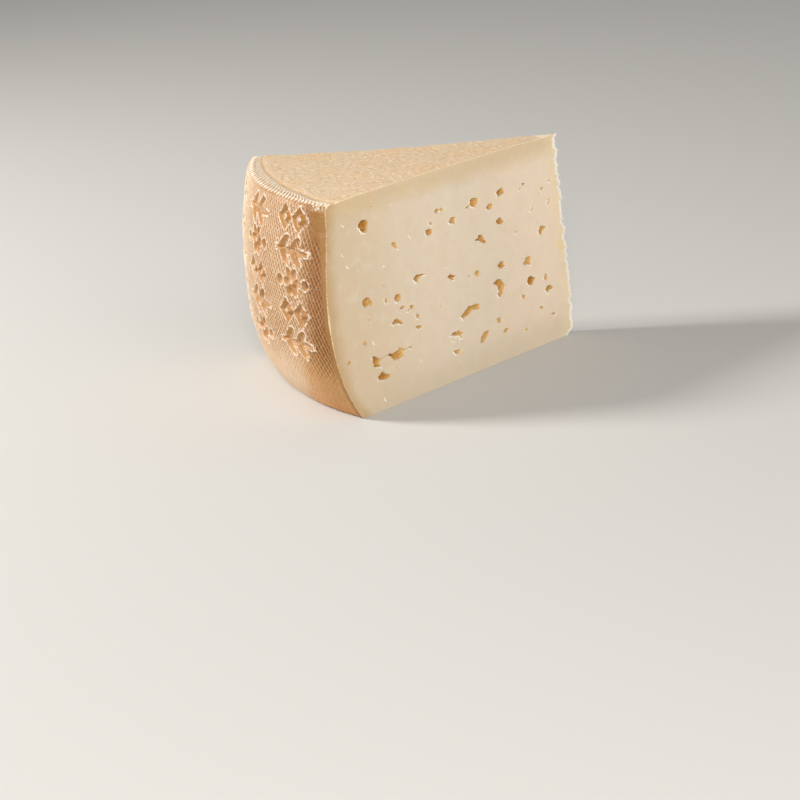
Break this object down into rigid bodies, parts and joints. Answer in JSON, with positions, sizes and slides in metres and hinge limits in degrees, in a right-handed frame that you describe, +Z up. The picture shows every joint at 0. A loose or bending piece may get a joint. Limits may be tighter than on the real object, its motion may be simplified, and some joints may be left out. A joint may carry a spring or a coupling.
{
  "type": "asiago cheese wedge",
  "caption": "Wedge cut from a wheel of pressed asiago cheese, with a bulged, stamped rind, a beaded top rim and a pale paste full of irregular eyes.",
  "frame": {"origin": "centre of the bounding box, on the flat bottom that the wedge rests on", "axes": "+Z up along the wheel's axis, +X along the wedge from the rind towards the tip, +Y across it"},
  "size_m": [0.191, 0.1492, 0.1212],
  "materials": {
    "cheese": "moist pale cream paste on the cuts and a dry golden tan rind on the side, top and bottom"
  },
  "bodies": {
    "root": {"cheese_wedge": "cheese"}
  },
  "joints": []
}
